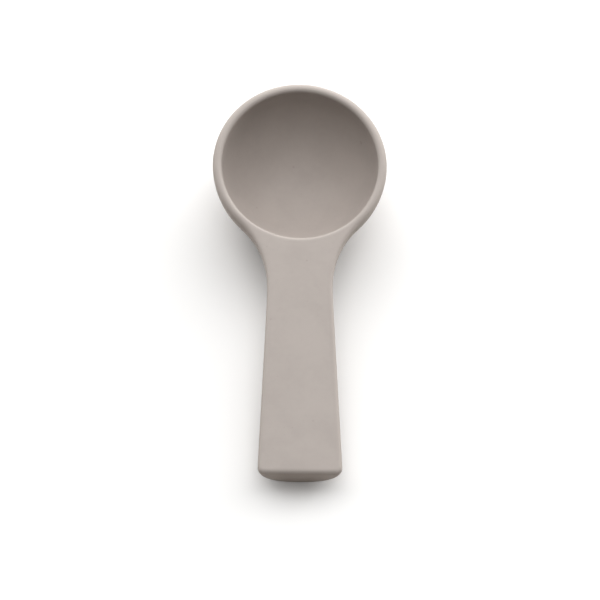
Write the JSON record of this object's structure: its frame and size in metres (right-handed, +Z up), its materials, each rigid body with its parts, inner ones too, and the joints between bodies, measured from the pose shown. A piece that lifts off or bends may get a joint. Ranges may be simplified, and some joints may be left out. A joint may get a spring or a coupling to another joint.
{
  "type": "teaspoon",
  "caption": "Short ceramic teaspoon: a deep round bowl with a rounded lip, flaring into a flat-topped handle of D section that widens to a square tip",
  "frame": {"origin": "on the resting surface, below the middle of the spoon's length and width", "axes": "+Z up from the resting surface; +Y along the spoon from the handle's tip to the bowl; +X to the right seen from the handle's tip. The spoon is as it lies at rest, leaning down towards the tip"},
  "size_m": [0.0428, 0.0994, 0.025],
  "materials": {
    "matte_glaze": "satin matte warm grey glaze, a little paler and thinner along the rim and the edges"
  },
  "bodies": {
    "root": {"bowl": "matte_glaze", "handle": "matte_glaze"}
  },
  "joints": []
}
